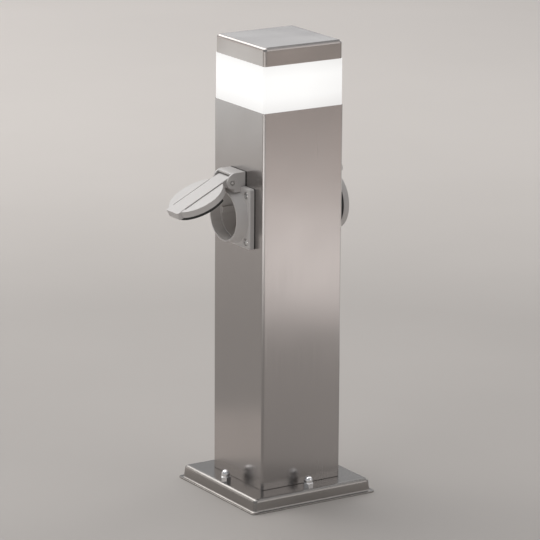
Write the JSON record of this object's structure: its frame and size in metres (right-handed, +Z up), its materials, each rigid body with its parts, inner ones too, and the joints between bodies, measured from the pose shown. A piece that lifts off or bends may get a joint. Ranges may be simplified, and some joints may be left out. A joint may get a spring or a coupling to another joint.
{
  "type": "garden socket post",
  "caption": "Square stainless garden post with a lit opal band under its cap, a pressed base to bolt down, and a hinged-lid socket outlet on each of two opposite faces.",
  "frame": {"origin": "on the ground under the base, on the axis of the post", "axes": "+Z up along the post; the outlets are on the -X and +X faces, the +Y face is the one behind the terminal bracket"},
  "size_m": [0.1692, 0.126, 0.4],
  "materials": {
    "post_steel": "satin, fine vertical brushing",
    "base_steel": "polished",
    "cap_steel": "satin",
    "nut_chrome": "bright plated",
    "grey_plastic": "fine moulded texture",
    "lid_plastic": "fine moulded texture",
    "black_rubber": "matt",
    "opal": "opal, lit from inside",
    "pin_steel": "drawn",
    "inner_steel": "galvanised",
    "inner_alu": "extruded",
    "screw_zinc": "zinc plated",
    "brass": "plain",
    "white_plastic": "moulded",
    "board_white": "white solder mask",
    "chip_yellow": "phosphor",
    "wire_brown": "insulation",
    "wire_blue": "insulation",
    "wire_green": "insulation",
    "wire_red": "insulation"
  },
  "bodies": {
    "post": {"base_plate": "base_steel", "cap_nuts": "nut_chrome", "cable_grommet": "black_rubber", "post_tube": "post_steel", "terminal_bracket": "inner_steel", "terminal_block": "white_plastic", "terminal_screws": "screw_zinc", "cord_clamp": "white_plastic", "clamp_screws": "screw_zinc", "earth_stud": "screw_zinc", "earth_nut": "brass", "led_driver": "white_plastic", "driver_screws": "screw_zinc", "live_wires": "wire_brown", "neutral_wires": "wire_blue", "earth_wires": "wire_green", "led_leads": "wire_red", "head_carrier": "inner_steel", "lower_lens_gasket": "black_rubber", "lens": "opal", "upper_lens_gasket": "black_rubber", "led_core": "inner_alu", "led_boards": "board_white", "led_chips": "chip_yellow", "tie_rods": "screw_zinc", "tie_nuts": "screw_zinc", "cap_plate": "inner_steel", "top_cap": "cap_steel", "left_flange_gasket": "black_rubber", "left_socket_frame": "grey_plastic", "left_socket_insert": "grey_plastic", "left_earth_clips": "brass", "left_contacts": "brass", "left_contact_cover": "grey_plastic", "left_flange_screws": "screw_zinc", "left_hinge_pin": "pin_steel", "left_lid_spring": "screw_zinc", "right_flange_gasket": "black_rubber", "right_socket_frame": "grey_plastic", "right_socket_insert": "grey_plastic", "right_earth_clips": "brass", "right_contacts": "brass", "right_contact_cover": "grey_plastic", "right_flange_screws": "screw_zinc", "right_hinge_pin": "pin_steel", "right_lid_spring": "screw_zinc"},
    "left_lid": {"left_lid": "lid_plastic", "left_lid_seal": "black_rubber"},
    "right_lid": {"right_lid": "lid_plastic", "right_lid_seal": "black_rubber"}
  },
  "joints": [
    {"name": "left_lid_hinge", "type": "hinge", "parent": "post", "child": "left_lid", "pos_m": [-0.0532, 0, 0.2807], "axis": [0, 1, 0], "range_deg": [-63.5, 26.5], "stiffness_Nm_per_rad": 0.02, "springref_deg": -83.48},
    {"name": "right_lid_hinge", "type": "hinge", "parent": "post", "child": "right_lid", "pos_m": [0.0532, 0, 0.2807], "axis": [0, -1, 0], "range_deg": [0, 90], "stiffness_Nm_per_rad": 0.02, "springref_deg": -20}
  ]
}
